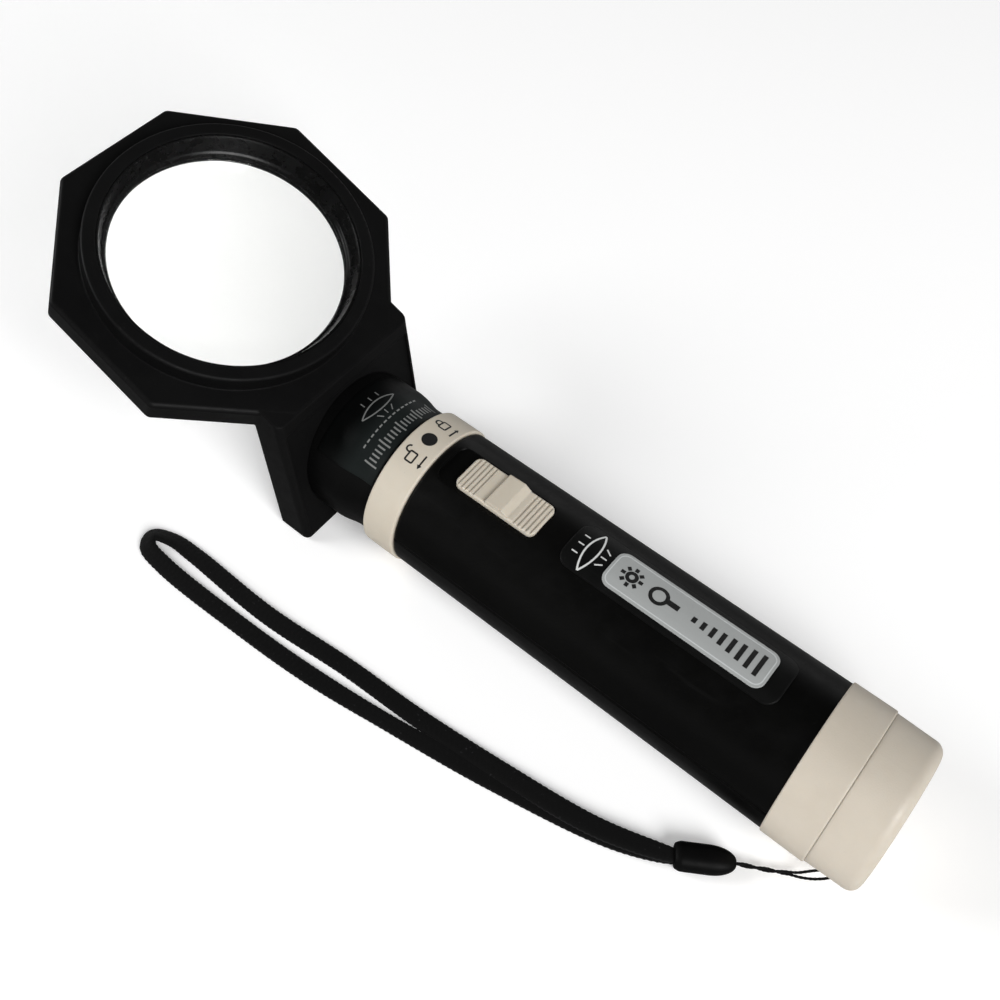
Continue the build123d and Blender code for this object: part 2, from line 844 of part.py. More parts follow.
def strap_branch(stations, turn):
    """Centre line of one side of the loop, from the ferrule to the loop's tip."""
    root = (bend_pivot.X, bend_pivot.Y)
    start = (ferrule_direction.X, ferrule_direction.Y)
    stops = [(ring_front_x + along, across) for along, across in stations]
    Spline(root, *stops, loop_tip, tangents=(start, (0, turn)))


with BuildPart() as wrist_strap:
    with BuildSketch(Plane.XY.offset(rest_z)):
        for branch, turn in ((near_side, -1), (far_side, 1)):
            with BuildLine() as centre_line:
                strap_branch(branch, turn)
            trace(centre_line.line, line_width=strap_width)
        with Locations(loop_tip, (bend_pivot.X, bend_pivot.Y)):
            Circle(strap_root_radius)
    extrude(amount=strap_thickness)

# ---------------------------------------------------------------- labels and export
pieces = {
    "head_frame": head_frame,
    "lens": lens,
    "lens_retainer": lens_retainer,
    "nose_barrel": nose_barrel,
    "nose_label": nose_label,
    "light_window": light_window,
    "reflector": reflector,
    "led": led,
    "led_board": led_board,
    "board_clip": board_clip,
    "nose_spring": nose_spring,
    "nose_contact": nose_contact,
    "lock_ring": lock_ring,
    "body_tube": body_tube,
    "switch_slider": switch_slider,
    "switch_bridge": switch_bridge,
    "front_strip": front_strip,
    "rear_strip": rear_strip,
    "front_cell": front_cell,
    "rear_cell": rear_cell,
    "tail_spring": tail_spring,
    "tail_contact": tail_contact,
    "tail_ring": tail_ring,
    "end_cap": end_cap,
    "dark_panel": dark_panel,
    "silver_label": silver_label,
    "cord_knot": cord_knot,
    "cord_loop": cord_loop,
    "strap_ferrule": strap_ferrule,
    "wrist_strap": wrist_strap,
}
for name, piece in pieces.items():
    piece.part.label = name
    export_step(piece.part, f"parts/{name}.step")
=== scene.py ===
"""Looks of the hand-held illuminated magnifier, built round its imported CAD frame. Lengths in metres."""

import json
import math

import bpy
import numpy as np
from mathutils import Matrix, Vector
from mathutils.bvhtree import BVHTree


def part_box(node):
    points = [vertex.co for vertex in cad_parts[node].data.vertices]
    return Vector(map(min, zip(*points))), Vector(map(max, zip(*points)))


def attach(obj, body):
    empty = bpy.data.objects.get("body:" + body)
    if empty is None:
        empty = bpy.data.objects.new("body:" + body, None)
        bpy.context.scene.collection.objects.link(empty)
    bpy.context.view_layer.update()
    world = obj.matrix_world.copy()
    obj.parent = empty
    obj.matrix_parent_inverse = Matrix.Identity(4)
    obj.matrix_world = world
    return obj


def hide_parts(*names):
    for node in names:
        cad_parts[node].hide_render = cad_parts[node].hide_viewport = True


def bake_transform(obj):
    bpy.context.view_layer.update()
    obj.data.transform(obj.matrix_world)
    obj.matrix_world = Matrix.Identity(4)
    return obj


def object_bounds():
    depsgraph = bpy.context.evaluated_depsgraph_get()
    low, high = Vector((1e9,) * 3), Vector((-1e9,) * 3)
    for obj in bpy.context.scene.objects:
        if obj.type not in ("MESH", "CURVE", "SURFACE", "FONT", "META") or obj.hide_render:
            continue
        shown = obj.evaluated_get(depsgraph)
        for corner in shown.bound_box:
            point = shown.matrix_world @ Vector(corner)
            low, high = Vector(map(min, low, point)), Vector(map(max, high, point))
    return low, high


MM = 0.001
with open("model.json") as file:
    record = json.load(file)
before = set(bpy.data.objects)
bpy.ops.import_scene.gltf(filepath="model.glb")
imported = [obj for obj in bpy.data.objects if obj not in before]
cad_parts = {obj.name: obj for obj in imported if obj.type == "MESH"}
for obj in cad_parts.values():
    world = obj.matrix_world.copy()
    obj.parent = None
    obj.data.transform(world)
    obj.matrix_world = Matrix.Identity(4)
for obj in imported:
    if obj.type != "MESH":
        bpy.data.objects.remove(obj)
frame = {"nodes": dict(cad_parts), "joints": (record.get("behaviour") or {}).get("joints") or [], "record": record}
cad_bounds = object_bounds()
nodes = frame["nodes"]
joints = {joint["name"]: joint for joint in frame["joints"]}

# ---------------------------------------------------------------- places taken from the frame
ring_low, ring_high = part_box("lock_ring")
cap_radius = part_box("end_cap")[1].z
rest_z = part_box("tail_ring")[0].z
silver_low, silver_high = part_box("silver_label")
panel_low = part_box("dark_panel")[0]
nose_label_low, nose_label_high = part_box("nose_label")
# Stations along the nose film between which painted shade, the hood's dark reflection, goes from darkest to gone.
film_dark_x = nose_label_low.x + 0.25 * (nose_label_high.x - nose_label_low.x)
film_clear_x = nose_label_low.x + 0.62 * (nose_label_high.x - nose_label_low.x)
anchor = Vector(joints["cord_swing"]["pos_m"])
bend_pivot = Vector(joints["strap_bend"]["pos_m"])


# ---------------------------------------------------------------- node trees
class Tree:
    """One material's node tree, with short calls that add and link nodes."""

    def __init__(self, name):
        self.material = bpy.data.materials.new(name)
        self.material.use_nodes = True
        self.tree = self.material.node_tree
        self.tree.nodes.clear()
        self.output = self.tree.nodes.new("ShaderNodeOutputMaterial")
        self.surface = self.tree.nodes.new("ShaderNodeBsdfPrincipled")
        self.tree.links.new(self.surface.outputs[0], self.output.inputs["Surface"])
        self.place = self.tree.nodes.new("ShaderNodeTexCoord").outputs["Object"]

    def put(self, socket, value):
        """Links a socket, or sets a plain value."""
        if isinstance(value, bpy.types.NodeSocket):
            self.tree.links.new(value, socket)
        else:
            socket.default_value = value

    def node(self, kind, out=0, settings=None, **inputs):
        """Adds a node and returns one of its outputs."""
        made = self.tree.nodes.new("ShaderNode" + kind)
        for key, value in (settings or {}).items():
            setattr(made, key, value)
        for key, value in inputs.items():
            name = key.replace("_", " ")
            self.put(made.inputs[int(key[1:])] if key[1:].isdigit() else made.inputs[name], value)
        return made.outputs[out]

    def math(self, operation, a, b=0.0, clamp=False):
        """Sum, product or comparison of two values."""
        return self.node("Math", settings={"operation": operation, "use_clamp": clamp}, i0=a, i1=b)

    def noise(self, size, detail=3.0, roughness=0.55, stretch=(1, 1, 1), seed=0.0):
        """Noise with features about size metres across, longer along an axis where stretch is below 1."""
        mapped = self.node("Mapping", Vector=self.place, Scale=stretch, Location=(seed, seed, seed))
        return self.node("TexNoise", Vector=mapped, Scale=1 / size, Detail=detail, Roughness=roughness)

    def between(self, value, low, high, to_low=0.0, to_high=1.0):
        """Maps value from low..high to to_low..to_high, clamped."""
        return self.node("MapRange", i0=value, i1=low, i2=high, i3=to_low, i4=to_high)

    def mix(self, share, a, b):
        """Colour mix."""
        made = self.tree.nodes.new("ShaderNodeMix")
        made.data_type = "RGBA"
        for socket, value in ((made.inputs[0], share), (made.inputs[6], a), (made.inputs[7], b)):
            self.put(socket, value)
        return made.outputs[2]

    def bump(self, height, strength, distance, under=None):
        """Normal raised by a height, on top of another normal if one is given."""
        made = self.tree.nodes.new("ShaderNodeBump")
        made.inputs["Strength"].default_value = strength
        made.inputs["Distance"].default_value = distance
        self.tree.links.new(height, made.inputs["Height"])
        if under is not None:
            self.tree.links.new(under, made.inputs["Normal"])
        return made.outputs[0]

    def finish(self, **inputs):
        """Fills in the surface and returns the material."""
        for key, value in inputs.items():
            self.put(self.surface.inputs[key.replace("_", " ")], value)
        return self.material


def rgb(red, green, blue):
    """Opaque colour in linear light."""
    return (red, green, blue, 1.0)


def edge_mask(tree, radius):
    """0 on flat faces and towards 1 on edges sharper than radius, and the softened normal itself."""
    soft = tree.node("Bevel", settings={"samples": 4}, Radius=radius)
    sharp = tree.tree.nodes.new("ShaderNodeNewGeometry").outputs["Normal"]
    same = tree.node("VectorMath", 1, {"operation": "DOT_PRODUCT"}, i0=soft, i1=sharp)
    return tree.between(same, 1.0, 0.86), soft


def moulded_plastic(
    name, color, worn, roughness, grain=0.00028, grain_depth=0.05, dust=0.0, gloss=0.5, hood_shade_span=None
):
    """Injection-moulded plastic: fine spark texture, slow colour drift, rubbed edges and hairline marks.

    Given two stations along X, the colour sinks to near black from the second to the first: painted shade that
    stands in for the black hood's dark reflection on the nose film.
    """
    tree = Tree(name)
    drift = tree.noise(0.03, detail=4)
    specks = tree.noise(0.0011, detail=5, roughness=0.7, seed=3.1)
    worn_edge, soft = edge_mask(tree, 0.00045)
    patchy = tree.between(tree.noise(0.006, detail=5, seed=7.7), 0.45, 0.7)
    rubbed = tree.math("MULTIPLY", worn_edge, patchy)
    base = tree.mix(tree.between(drift, 0.3, 0.7, 0.0, 0.35), color, worn)
    base = tree.mix(tree.math("MULTIPLY", rubbed, 0.8), base, worn)
    # Painted shade: the colour darkens towards the hood, in place of the hood's dark reflection.
    if hood_shade_span:
        along = tree.node("SeparateXYZ", 0, i0=tree.place)
        painted_hood_shade = tree.between(along, hood_shade_span[0], hood_shade_span[1], 0.9, 0.0)
        base = tree.mix(painted_hood_shade, base, rgb(0.0004, 0.0004, 0.0004))
    scratches = tree.noise(0.0012, detail=2, stretch=(0.06, 1.6, 1.6), seed=11.0)
    lines = tree.between(scratches, 0.66, 0.7)
    up = tree.node("SeparateXYZ", 2, i0=tree.tree.nodes.new("ShaderNodeNewGeometry").outputs["Normal"])
    settled = tree.math("MULTIPLY", tree.between(up, 0.2, 1.0), tree.between(specks, 0.62, 0.78))
    if dust:
        pale = rgb(0.32, 0.31, 0.29)
        base = tree.mix(tree.math("MULTIPLY", settled, dust), base, pale)
    polish = tree.noise(0.004, detail=6, roughness=0.65, seed=5.0)
    rough = tree.between(polish, 0.25, 0.75, roughness - 0.06, roughness + 0.09)
    rough = tree.math("ADD", rough, tree.math("MULTIPLY", lines, 0.08))
    rough = tree.math("SUBTRACT", rough, tree.math("MULTIPLY", rubbed, 0.1))
    skin = tree.noise(grain, detail=2, roughness=0.6, seed=1.3)
    relief = tree.bump(skin, grain_depth, grain, under=soft)
    relief = tree.bump(lines, 0.04, 0.00004, under=relief)
    wave = tree.noise(0.012, detail=1, seed=9.0)
    relief = tree.bump(wave, 0.05, 0.0006, under=relief)
    return tree.finish(Base_Color=base, Roughness=rough, Normal=relief, Specular_IOR_Level=gloss)


def ivory_plastic(name, color, shade, roughness):
    """Warm ivory plastic: a little light passes through it, and its corners and hollows darken with patchy grime
    and painted shade.
    """
    tree = Tree(name)
    worn_edge, soft = edge_mask(tree, 0.0004)
    # Painted shade and grime: the colour darkens in patches where ambient occlusion finds corners and hollows.
    hollow = tree.node("AmbientOcclusion", 1, {"samples": 6}, Distance=0.0012)
    uneven = tree.between(tree.noise(0.0016, detail=5, seed=2.0), 0.3, 0.7, 0.45, 1.0)
    hollow_shade_and_grime = tree.math("MULTIPLY", tree.between(hollow, 0.85, 0.35), uneven)
    drift = tree.between(tree.noise(0.012, detail=5, roughness=0.6), 0.35, 0.7)
    base = tree.mix(tree.math("MULTIPLY", drift, 0.55), color, shade)
    flecks = tree.between(tree.noise(0.0006, detail=3, seed=6.0), 0.68, 0.8)
    base = tree.mix(tree.math("MULTIPLY", flecks, 0.3), base, rgb(0.36, 0.3, 0.24))
    base = tree.mix(tree.math("MULTIPLY", hollow_shade_and_grime, 0.4), base, rgb(0.26, 0.22, 0.175))
    pale = rgb(0.78, 0.74, 0.67)
    base = tree.mix(tree.math("MULTIPLY", worn_edge, 0.25), base, pale)
    polish = tree.noise(0.002, detail=5, seed=4.0)
    rough = tree.between(polish, 0.3, 0.7, roughness - 0.05, roughness + 0.1)
    skin = tree.noise(0.00032, detail=2, seed=1.0)
    relief = tree.bump(skin, 0.07, 0.0003, under=soft)
    flow = tree.noise(0.008, detail=1, stretch=(0.4, 1, 1), seed=8.0)
    relief = tree.bump(flow, 0.06, 0.0006, under=relief)
    return tree.finish(
        Base_Color=base,
        Roughness=rough,
        Normal=relief,
        Subsurface_Weight=0.12,
        Subsurface_Radius=(0.8, 0.55, 0.35),
        Subsurface_Scale=0.0012,
        Specular_IOR_Level=0.45,
    )


def clear_plastic(name, tint, index, haze, shine=1.0):
    """Polished clear plastic. Shadow rays pass it, so that it doesn't black out the table."""
    tree = Tree(name)
    breath = tree.noise(0.009, detail=5, roughness=0.6, seed=2.5)
    smear = tree.between(breath, 0.45, 0.75, haze, haze + 0.03)
    motes = tree.between(tree.noise(0.0012, detail=3, seed=8.5), 0.74, 0.78, 0.0, 0.25)
    rough = tree.math("ADD", smear, motes)
    ripple = tree.bump(tree.noise(0.02, detail=1), 0.01, 0.0002)
    tree.finish(
        Base_Color=tint,
        Transmission_Weight=1.0,
        IOR=index,
        Roughness=rough,
        Normal=ripple,
        Specular_Tint=rgb(shine, shine, shine),
        Coat_Weight=0.15 * shine,
        Coat_Roughness=0.02,
    )
    passing = tree.tree.nodes.new("ShaderNodeBsdfTransparent")
    passing.inputs[0].default_value = tint
    path = tree.tree.nodes.new("ShaderNodeLightPath")
    blend = tree.tree.nodes.new("ShaderNodeMixShader")
    tree.tree.links.new(path.outputs["Is Shadow Ray"], blend.inputs[0])
    tree.tree.links.new(tree.surface.outputs[0], blend.inputs[1])
    tree.tree.links.new(passing.outputs[0], blend.inputs[2])
    tree.tree.links.new(blend.outputs[0], tree.output.inputs["Surface"])
    return tree.material


def metal(
    name, color, roughness, brush=(0.02, 1, 1), tarnish=rgb(0.2, 0.15, 0.1), tarnish_share=0.3, bare=1.0
):
    """Bare or plated metal with brushing along one axis and patchy tarnish."""
    tree = Tree(name)
    hairs = tree.noise(0.0003, detail=3, stretch=brush)
    stain = tree.between(tree.noise(0.005, detail=6, roughness=0.7, seed=4.0), 0.5, 0.75)
    base = tree.mix(tree.math("MULTIPLY", stain, tarnish_share), color, tarnish)
    rough = tree.between(hairs, 0.3, 0.7, roughness - 0.07, roughness + 0.12)
    worn_edge, soft = edge_mask(tree, 0.0001)
    relief = tree.bump(hairs, 0.08, 0.00008, under=soft)
    base = tree.mix(tree.math("MULTIPLY", worn_edge, 0.3), base, rgb(0.9, 0.9, 0.88))
    return tree.finish(Base_Color=base, Metallic=bare, Roughness=rough, Normal=relief)


def braid_fabric(name, color, pale, thread):
    """Black polyester braid: dull threads with a faint sheen, lint, and fuzzy painted highlights that pale the
    colour towards grazing angles.
    """
    tree = Tree(name)
    fibres = tree.noise(thread, detail=4, roughness=0.7, stretch=(0.5, 1.3, 1.3))
    lint = tree.between(tree.noise(0.0007, detail=4, seed=3.0), 0.66, 0.76)
    painted_grazing_sheen = tree.node("LayerWeight", 1, Blend=0.35)
    base = tree.mix(tree.between(fibres, 0.35, 0.7, 0.0, 0.8), color, pale)
    base = tree.mix(tree.math("MULTIPLY", lint, 0.16), base, rgb(0.16, 0.16, 0.17))
    # Painted sheen: the colour pales towards grazing angles, by the Layer Weight mask.
    base = tree.mix(tree.math("MULTIPLY", painted_grazing_sheen, 0.05), base, rgb(0.1, 0.1, 0.11))
    relief = tree.bump(fibres, 0.35, thread)
    return tree.finish(
        Base_Color=base,
        Roughness=tree.between(fibres, 0.3, 0.7, 0.72, 0.92),
        Normal=relief,
        Sheen_Weight=0.03,
        Sheen_Roughness=0.5,
        Specular_IOR_Level=0.1,
    )


def ink(name, color, roughness):
    """Printed ink, slightly uneven and rubbed through in specks."""
    tree = Tree(name)
    wear = tree.between(tree.noise(0.0004, detail=4, seed=5.5), 0.62, 0.72)
    under = tuple(0.72 * part + 0.05 for part in color[:3]) + (1.0,)
    base = tree.mix(tree.math("MULTIPLY", wear, 0.5), color, under)
    relief = tree.bump(tree.noise(0.0002, detail=2), 0.1, 0.00003)
    return tree.finish(Base_Color=base, Roughness=roughness, Normal=relief)


def wrapped_cell(name):
    """Cell wrap: dark printed film with a bright band at the terminal end, a little metallic and wrinkled."""
    tree = Tree(name)
    split = tree.node("SeparateXYZ", 0, i0=tree.place)
    band = tree.math("GREATER_THAN", tree.math("FRACT", tree.math("MULTIPLY", split, 20.2)), 0.72)
    base = tree.mix(band, rgb(0.03, 0.05, 0.09), rgb(0.55, 0.33, 0.08))
    wrinkle = tree.noise(0.003, detail=3, stretch=(0.3, 1, 1))
    return tree.finish(
        Base_Color=tree.mix(tree.between(wrinkle, 0.6, 0.8, 0.0, 0.2), base, rgb(0.3, 0.3, 0.3)),
        Metallic=0.4,
        Roughness=tree.between(wrinkle, 0.3, 0.7, 0.25, 0.4),
        Normal=tree.bump(wrinkle, 0.1, 0.0002),
    )


IVORY = rgb(0.60, 0.545, 0.455)
IVORY_SHADE = rgb(0.52, 0.465, 0.375)
CAP = rgb(0.56, 0.505, 0.425)
CAP_SHADE = rgb(0.49, 0.435, 0.36)
BLACK_SPECULAR = 0.10
materials = {
    "head_black": moulded_plastic(
        "head_black_plastic",
        rgb(0.0030, 0.0030, 0.0031),
        worn=rgb(0.0075, 0.0075, 0.0075),
        roughness=0.46,
        dust=0.02,
        gloss=BLACK_SPECULAR,
    ),
    "nose_black": moulded_plastic(
        "nose_black_plastic",
        rgb(0.0016, 0.0016, 0.0016),
        worn=rgb(0.005, 0.005, 0.005),
        roughness=0.42,
        dust=0.02,
        gloss=BLACK_SPECULAR,
    ),
    "body_black": moulded_plastic(
        "body_black_plastic",
        rgb(0.0014, 0.0014, 0.0013),
        worn=rgb(0.0040, 0.0040, 0.0037),
        roughness=0.34,
        grain=0.00022,
        grain_depth=0.03,
        dust=0.01,
        gloss=BLACK_SPECULAR,
    ),
    "retainer_black": moulded_plastic(
        "retainer_gloss_plastic",
        rgb(0.003, 0.003, 0.003),
        worn=rgb(0.005, 0.005, 0.005),
        roughness=0.26,
        grain_depth=0.015,
        dust=0.01,
        gloss=0.2,
    ),
    "ferrule_black": moulded_plastic(
        "ferrule_plastic",
        rgb(0.0018, 0.0018, 0.0018),
        worn=rgb(0.0045, 0.0045, 0.0045),
        roughness=0.48,
        gloss=0.08,
    ),
    "clip_black": moulded_plastic(
        "clip_plastic", rgb(0.008, 0.008, 0.008), worn=rgb(0.03, 0.03, 0.03), roughness=0.5
    ),
    "board_green": moulded_plastic(
        "board_solder_mask", rgb(0.02, 0.12, 0.05), worn=rgb(0.05, 0.22, 0.1), roughness=0.3
    ),
    "panel_black": moulded_plastic(
        "printed_film",
        rgb(0.0020, 0.0021, 0.0020),
        worn=rgb(0.0055, 0.0058, 0.0056),
        roughness=0.38,
        grain_depth=0.02,
        dust=0.02,
        gloss=0.2,
    ),
    "nose_film": moulded_plastic(
        "nose_printed_film",
        rgb(0.0070, 0.0092, 0.0090),
        worn=rgb(0.015, 0.019, 0.0185),
        roughness=0.4,
        grain_depth=0.02,
        dust=0.03,
        gloss=0.12,
        # Painted shade towards the hood, for its dark reflection on the film.
        hood_shade_span=(film_dark_x, film_clear_x),
    ),
    "ivory_ring": ivory_plastic("ivory_ring_plastic", IVORY, IVORY_SHADE, roughness=0.42),
    "ivory_switch": ivory_plastic("ivory_switch_plastic", IVORY, IVORY_SHADE, roughness=0.45),
    "ivory_cap": ivory_plastic("ivory_cap_plastic", CAP, CAP_SHADE, roughness=0.44),
    "lens_clear": clear_plastic("lens_acrylic", rgb(0.965, 0.968, 0.96), index=1.49, haze=0.0, shine=0.3),
    "window_clear": clear_plastic("window_polycarbonate", rgb(0.96, 0.97, 0.975), index=1.58, haze=0.02),
    "led_epoxy": clear_plastic("led_epoxy", rgb(0.95, 0.95, 0.86), index=1.5, haze=0.12),
    "reflector_chrome": metal(
        "reflector_metallised", rgb(0.86, 0.86, 0.85), roughness=0.1, tarnish_share=0.1
    ),
    "contact_brass": metal("contact_brass", rgb(0.78, 0.58, 0.26), roughness=0.28),
    "spring_steel": metal("spring_plated", rgb(0.62, 0.61, 0.6), roughness=0.25),
    "label_silver": metal(
        "label_foil",
        rgb(0.43, 0.445, 0.44),
        roughness=0.45,
        brush=(0.015, 1, 1),
        tarnish=rgb(0.34, 0.35, 0.35),
        tarnish_share=0.25,
        bare=0.25,
    ),
    "cell_wrap": wrapped_cell("cell_wrap_film"),
    "cord_black": braid_fabric(
        "cord_polyester", rgb(0.0014, 0.0014, 0.0014), pale=rgb(0.004, 0.004, 0.004), thread=0.00012
    ),
    "strap_black": braid_fabric(
        "strap_polyester", rgb(0.0014, 0.0014, 0.0014), pale=rgb(0.0038, 0.0038, 0.0038), thread=0.00016
    ),
}
for row in frame["record"]["subparts"]:
    for holder in nodes[row["node"]].material_slots:
        holder.material = materials["nose_film" if row["node"] == "nose_label" else row["material_slot"]]


# ---------------------------------------------------------------- print laid on curved CAD faces
class Skin:
    """The outside of a CAD node round the handle axis, found by casting rays at the axis."""

    reach = 60 * MM

    def __init__(self, name):
        mesh = nodes[name].data
        points = [vertex.co.copy() for vertex in mesh.vertices]
        faces = [list(face.vertices) for face in mesh.polygons]
        self.tree = BVHTree.FromPolygons(points, faces)

    def radius(self, x, angle=0.0):
        """Distance from the axis to the outside at station x; angle turns from +Z towards +Y."""
        out = Vector((0, math.sin(angle), math.cos(angle)))
        spot = self.tree.ray_cast(Vector((x, 0, 0)) + out * self.reach, -out)[0]
        return math.hypot(spot.y, spot.z)

    def place(self, x, arc, lift):
        """Point at station x and arc length arc round from the top, lift above the outside."""
        angle = arc / self.radius(x)
        radius = self.radius(x, angle) + lift
        return Vector((x, radius * math.sin(angle), radius * math.cos(angle)))


def stroke(points, width, closed=False):
    """Flat ribbon of even width along a line of (x, arc) points: its corners and its faces."""
    line = [Vector(point) for point in points]
    count = len(line)
    corners, faces = [], []
    for index, point in enumerate(line):
        before = line[index - 1] if index or closed else point
        after = line[(index + 1) % count] if index < count - 1 or closed else point
        along = (after - before).normalized()
        side = Vector((-along.y, along.x)) * (width / 2)
        corners += [point + side, point - side]
    for index in range(count if closed else count - 1):
        here, ahead = 2 * index, 2 * ((index + 1) % count)
        faces.append([here, here + 1, ahead + 1, ahead])
    return corners, faces


def disc(centre, radius, rings=5, sides=36):
    """Flat disc made of rings, so that it can follow a curved face."""
    corners, faces = [Vector(centre)], []
    for ring in range(1, rings + 1):
        for side in range(sides):
            turn = math.tau * side / sides
            reach = radius * ring / rings
            corners.append(Vector(centre) + Vector((math.cos(turn), math.sin(turn))) * reach)
    for side in range(sides):
        after = (side + 1) % sides
        faces.append([0, 1 + side, 1 + after])
        for ring in range(rings - 1):
            inner, outer = 1 + ring * sides, 1 + (ring + 1) * sides
            faces.append([inner + side, outer + side, outer + after, inner + after])
    return corners, faces


def arc_line(centre, radius, start, end, steps=24):
    """Points of a circular arc, with its angles in degrees."""
    return [
        (
            centre[0] + radius * math.cos(math.radians(start + (end - start) * step / steps)),
            centre[1] + radius * math.sin(math.radians(start + (end - start) * step / steps)),
        )
        for step in range(steps + 1)
    ]


def straight(start, end, steps=8):
    """Evenly spaced points of a straight line."""
    return [tuple(Vector(start).lerp(Vector(end), step / steps)) for step in range(steps + 1)]


def rounded_box(low, high, corner, steps=8):
    """Points round a rectangle with rounded corners, dense enough to follow a curved face."""
    points = []
    corners = (
        ((high[0] - corner, high[1] - corner), 0),
        ((low[0] + corner, high[1] - corner), 90),
        ((low[0] + corner, low[1] + corner), 180),
        ((high[0] - corner, low[1] + corner), 270),
    )
    for index, (centre, start) in enumerate(corners):
        turn = arc_line(centre, corner, start, start + 90, steps)
        points += turn
        next_centre, next_start = corners[(index + 1) % 4]
        target = arc_line(next_centre, corner, next_start, next_start + 90, steps)[0]
        points += straight(turn[-1], target, 3 * steps)[1:-1]
    return points


def solid_mesh(name, points, faces, material, smooth=True):
    """Mesh object from points and faces, with one material."""
    mesh = bpy.data.meshes.new(name)
    mesh.from_pydata([tuple(point) for point in points], [], faces)
    mesh.validate()
    mesh.materials.append(material)
    if smooth:
        mesh.polygons.foreach_set("use_smooth", [True] * len(mesh.polygons))
    piece = bpy.data.objects.new(name, mesh)
    bpy.context.scene.collection.objects.link(piece)
    return piece


def emboss(name, skin, shapes, low, high, material, body):
    """Closed relief on a skin: each flat shape becomes a thin solid from low to high above it."""
    points, faces = [], []
    for corners, cells in shapes:
        start = len(points)
        count = len(corners)
        points += [skin.place(x, arc, high) for x, arc in corners]
        points += [skin.place(x, arc, low) for x, arc in corners]
        edges = []
        for cell in cells:
            faces.append([start + index for index in cell])
            faces.append([start + count + index for index in reversed(cell)])
            edges += zip(cell, cell[1:] + cell[:1])
        inner = set(edges)
        for one, two in edges:
            if (two, one) not in inner:
                faces.append([start + two, start + one, start + count + one, start + count + two])
    piece = solid_mesh(name, points, faces, material, smooth=False)
    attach(piece, body)


print_black = ink("print_black", rgb(0.005, 0.005, 0.005), 0.5)
print_white = ink("print_white", rgb(0.62, 0.63, 0.62), 0.45)
print_grey = ink("print_grey", rgb(0.19, 0.195, 0.19), 0.45)
print_silver = ink("print_pale_silver", rgb(0.55, 0.57, 0.57), 0.4)
INK_LOW = -0.02 * MM
INK_HIGH = 0.025 * MM


def wedge(tip, way, size, steps=4):
    """Solid arrow head: a triangle cut into strips, so that it can follow a curved face."""
    tip, way = Vector(tip), Vector(way).normalized()
    across = Vector((-way.y, way.x))
    corners, faces = [tip], []
    for step in range(1, steps + 1):
        reach = size * step / steps
        back = tip - way * reach
        half_width = across * reach * 0.55
        corners += [back + half_width, back - half_width]
    faces.append([0, 1, 2])
    for step in range(steps - 1):
        left, right = 1 + 2 * step, 2 + 2 * step
        faces.append([left, left + 2, right + 2, right])
    return corners, faces


def arrow(tail, tip, width, head):
    """Arrow with a plain shaft and a solid head."""
    tail, tip = Vector(tail), Vector(tip)
    way = (tip - tail).normalized()
    return [stroke(straight(tail, tip - way * head * 0.8), width), wedge(tip, way, head)]


def padlock(centre, size, is_open, width):
    """Padlock sign, body below and shackle above, with the shackle swung aside when open."""
    x, arc = centre
    body_top = x - size * 0.1
    bend_x = x - size * 0.28
    shackle_radius = size * 0.26
    shackle_arc = arc + (size * 0.5 if is_open else 0.0)
    body = rounded_box((body_top, arc - size * 0.42), (x + size * 0.55, arc + size * 0.42), size * 0.1)
    shackle = arc_line((bend_x, shackle_arc), shackle_radius, 90, 270)
    shapes = [stroke(body, width, closed=True), stroke(shackle, width)]
    for side in (-1,) if is_open else (-1, 1):
        leg_arc = shackle_arc + side * shackle_radius
        shapes.append(stroke(straight((bend_x, leg_arc), (body_top, leg_arc)), width))
    return shapes


def ring_marks():
    """Dot on the lock ring, with an arrow and a padlock on each side of it, one open and one closed."""
    ring_mid = (ring_low.x + ring_high.x) / 2
    dot_arc = 0.7 * MM
    lock_x = ring_mid - 0.9 * MM
    arrow_x = ring_mid + 2.2 * MM
    width = 0.36 * MM
    shapes = [disc((ring_mid, dot_arc), 1.6 * MM)]
    for side, is_open in ((-1, True), (1, False)):
        shapes += padlock((lock_x, dot_arc + side * 5.2 * MM), 2.6 * MM, is_open, width)
        tail = (arrow_x, dot_arc + side * 3.4 * MM)
        tip = (arrow_x, dot_arc + side * 6.6 * MM)
        shapes += arrow(tail, tip, width, 0.9 * MM)
    return shapes


emboss("ring_marks", Skin("lock_ring"), ring_marks(), INK_LOW, INK_HIGH, print_black, "lock_ring")

label_skin = Skin("silver_label")
label_inset = 0.55 * MM
label_arc = (silver_low.y + silver_high.y) / 2
label_border = rounded_box(
    (silver_low.x + label_inset, silver_low.y + label_inset),
    (silver_high.x - label_inset, silver_high.y - label_inset),
    1.5 * MM,
)
border_shapes = [stroke(label_border, 0.2 * MM, closed=True)]
emboss("label_border", label_skin, border_shapes, INK_LOW, INK_HIGH, print_silver, "handle")


def light_sign(centre, size, width, rays=8):
    """Generic lamp sign: a small ring with short rays."""
    shapes = [stroke(arc_line(centre, size * 0.34, 0, 360, 28)[:-1], width, closed=True)]
    for ray in range(rays):
        turn = math.tau * ray / rays
        way = Vector((math.cos(turn), math.sin(turn)))
        ends = [Vector(centre) + way * size * reach for reach in (0.55, 0.88)]
        shapes.append(stroke(straight(ends[0], ends[1], 3), width))
    return shapes


def magnifier_sign(centre, size, width):
    """Generic magnifier sign: a ring with a straight handle."""
    shapes = [stroke(arc_line(centre, size * 0.5, 0, 360, 32)[:-1], width, closed=True)]
    grip = [Vector(centre) + Vector((size * reach, 0)) for reach in (0.5, 1.3)]
    shapes.append(stroke(straight(grip[0], grip[1], 4), width * 1.6))
    return shapes


